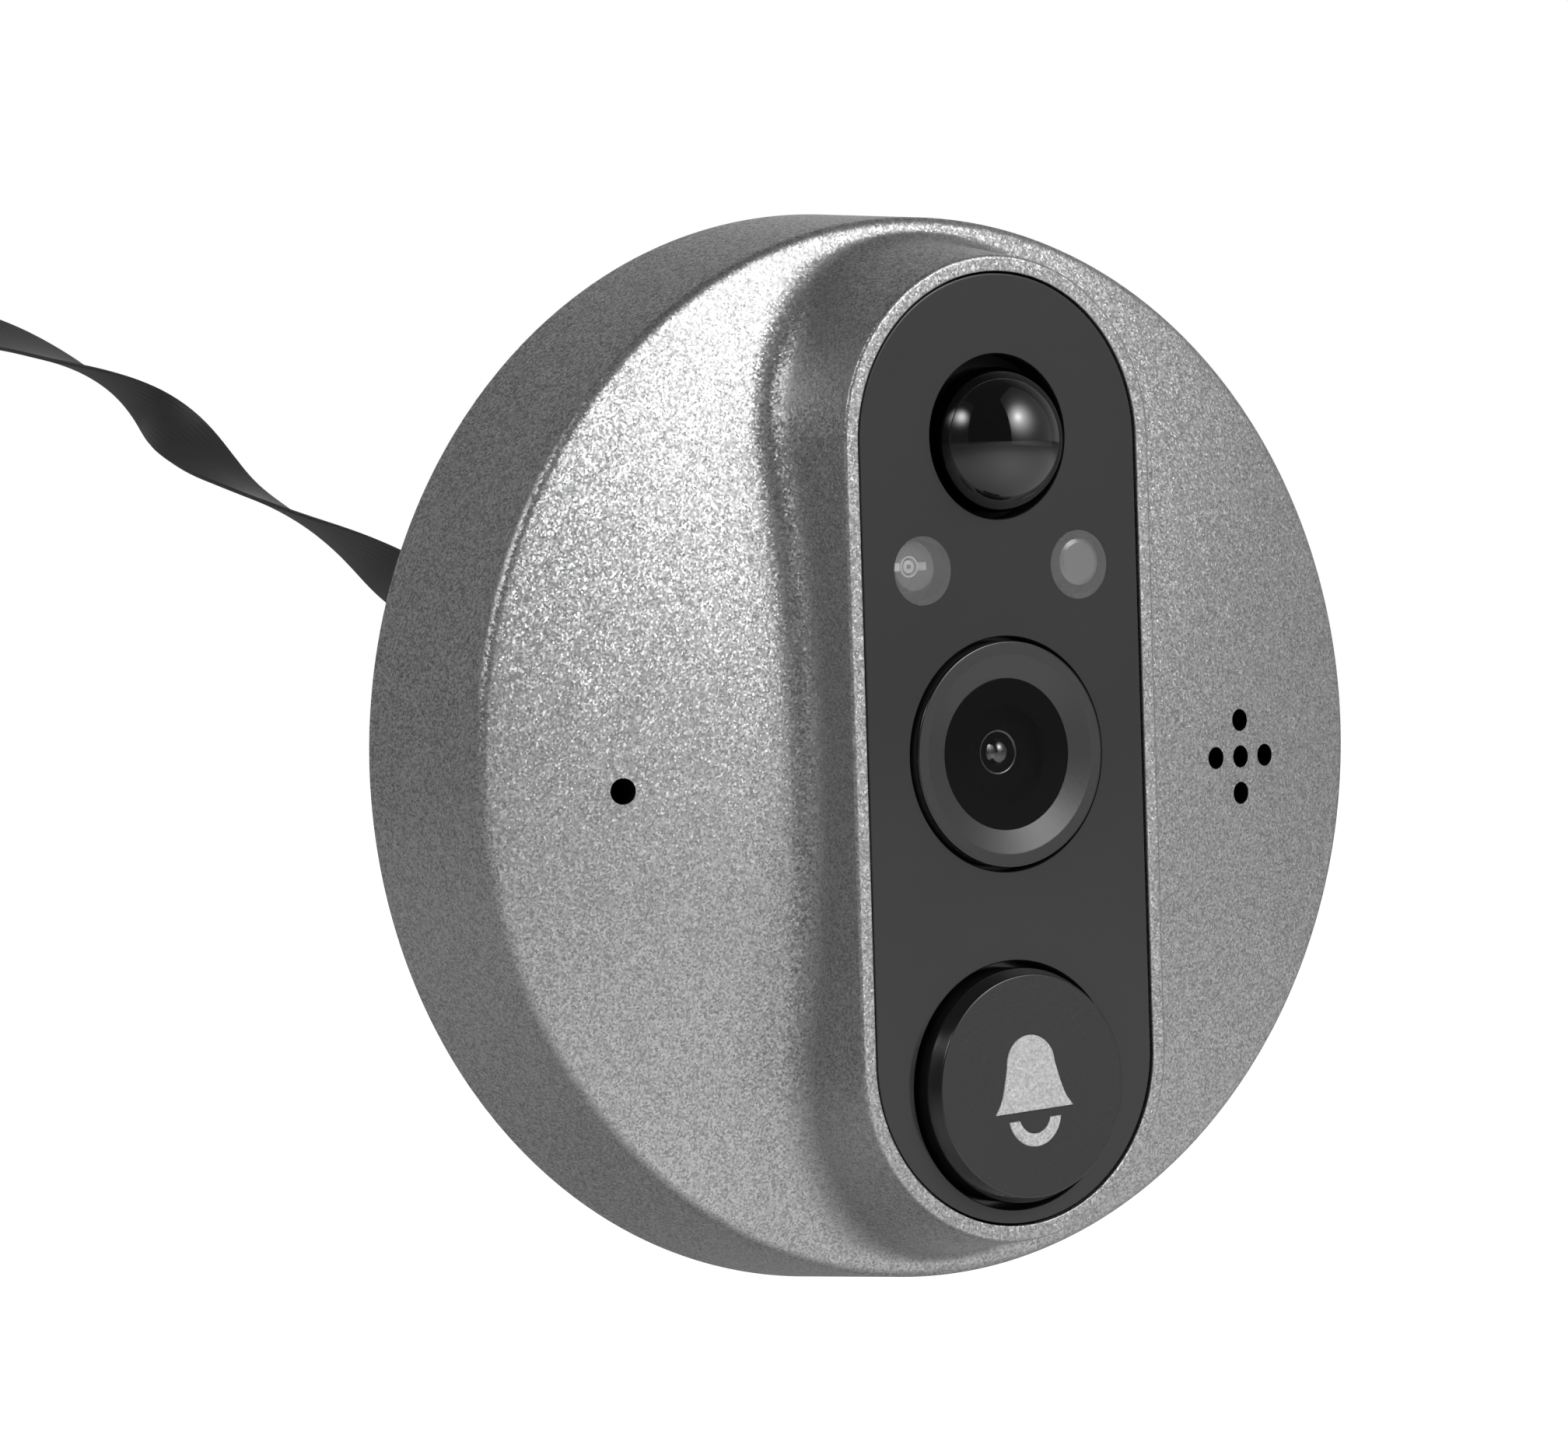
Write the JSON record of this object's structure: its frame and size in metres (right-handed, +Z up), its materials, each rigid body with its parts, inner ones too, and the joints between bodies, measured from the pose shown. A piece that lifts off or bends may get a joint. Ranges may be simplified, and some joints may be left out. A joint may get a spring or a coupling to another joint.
{
  "type": "peephole door camera",
  "caption": "Round silver outdoor unit of a peephole door camera: domed face, raised pill-shaped black panel with motion detector, lens and bell button, and a ribbon cable through the door.",
  "frame": {"origin": "middle of the pair of door screws, in the plane of the door's outer face, where the ribbon cable leaves", "axes": "+Z up, +Y into the door along the ribbon cable and the door screws, so the camera looks along -Y; +X to the right for someone who faces the unit"},
  "size_m": [0.062, 0.1729, 0.062],
  "materials": {
    "silver_paint": "silver metallic paint on moulded plastic, satin",
    "panel_black": "fine satin black",
    "case_black": "matte moulded black",
    "gloss_black": "polished infrared-clear black",
    "bezel_black": "satin dark grey",
    "smoked_window": "smoked clear plastic",
    "cover_glass": "coated dark glass",
    "lens_glass": "polished coated glass",
    "barrel_black": "matte black",
    "button_black": "satin dark grey",
    "symbol_silver": "satin silver inlay",
    "seal_rubber": "matte black rubber",
    "pad_foam": "foam tape, matte",
    "insert_brass": "turned brass",
    "screw_steel": "zinc-plated",
    "can_metal": "drawn metal can",
    "switch_black": "matte black",
    "plunger_plastic": "matte ivory",
    "led_clear": "clear cast resin",
    "sensor_grey": "cast resin, flat top",
    "chip_dark": "chip package",
    "speaker_black": "matte black",
    "cone_film": "formed film",
    "magnet_steel": "plated cup",
    "board_green": "green solder mask",
    "socket_beige": "matte ivory",
    "ribbon_black": "satin black film",
    "tab_blue": "polyester stiffener"
  },
  "bodies": {
    "unit": {"front_housing": "silver_paint", "rear_cover": "case_black", "rear_gasket": "seal_rubber", "adhesive_pad": "pad_foam", "cover_screws": "screw_steel", "threaded_inserts": "insert_brass", "cable_grommet": "seal_rubber", "front_panel": "panel_black", "panel_adhesive": "pad_foam", "led_window": "smoked_window", "sensor_window": "smoked_window", "pir_lens": "gloss_black", "pir_sensor": "can_metal", "lens_bezel": "bezel_black", "cover_glass": "cover_glass", "lens_barrel": "barrel_black", "lens_element": "lens_glass", "lens_holder": "barrel_black", "image_sensor": "chip_dark", "button_seal": "seal_rubber", "switch_body": "switch_black", "ir_led": "led_clear", "light_sensor": "sensor_grey", "microphone": "can_metal", "mic_boot": "seal_rubber", "speaker_frame": "speaker_black", "speaker_cone": "cone_film", "speaker_magnet": "magnet_steel", "speaker_gasket": "seal_rubber", "circuit_board": "board_green", "board_screws": "screw_steel", "ribbon_socket": "socket_beige", "ribbon_inner": "ribbon_black", "ribbon_cable": "ribbon_black", "ribbon_tab": "tab_blue"},
    "button": {"bell_button": "button_black", "bell_symbol": "symbol_silver"},
    "plunger": {"switch_plunger": "plunger_plastic"}
  },
  "joints": [
    {"name": "button_press", "type": "slide", "parent": "unit", "child": "button", "axis": [0, 1, 0], "range_m": [0, 0.0005], "stiffness_N_per_m": 2000, "springref_m": -0.0003},
    {"name": "plunger_press", "type": "slide", "parent": "unit", "child": "plunger", "axis": [0, 1, 0], "range_m": [0, 0.0005]}
  ],
  "couplings": [
    {"joint": "plunger_press", "follows": "button_press", "ratio": 1}
  ]
}
